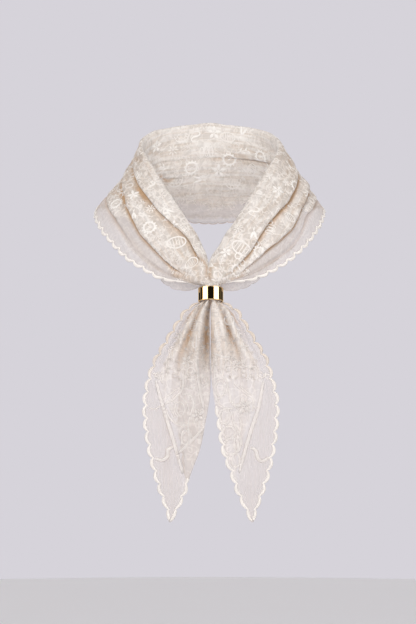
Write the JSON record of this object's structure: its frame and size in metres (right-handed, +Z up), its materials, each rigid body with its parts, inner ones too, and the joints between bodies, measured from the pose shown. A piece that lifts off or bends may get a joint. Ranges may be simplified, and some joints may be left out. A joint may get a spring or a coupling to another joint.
{
  "type": "lace neck shawl with scarf ring",
  "caption": "Pointed lace shawl folded lengthwise, worn round the neck as a wide pleated collar, drawn through a gilt scarf ring, with pointed scalloped tails.",
  "frame": {"origin": "the middle of the neck opening, on the axis of the wearer's neck, 80 mm below the fold at the nape", "axes": "+Z up along the neck, -Y to the front where the ring and tails hang, +X to the right seen from the front"},
  "size_m": [0.2545, 0.2075, 0.4349],
  "materials": {
    "lace_cloth": "sheer ivory lace ground with satin-stitch embroidery and a corded scalloped edge",
    "gilt_metal": "polished gold plating"
  },
  "bodies": {
    "root": {"left_front": "lace_cloth", "nape": "lace_cloth", "right_front": "lace_cloth", "left_tail": "lace_cloth", "right_tail": "lace_cloth", "left_tail_turn_under": "lace_cloth", "ring_gather": "lace_cloth", "scarf_ring": "gilt_metal"}
  },
  "joints": []
}
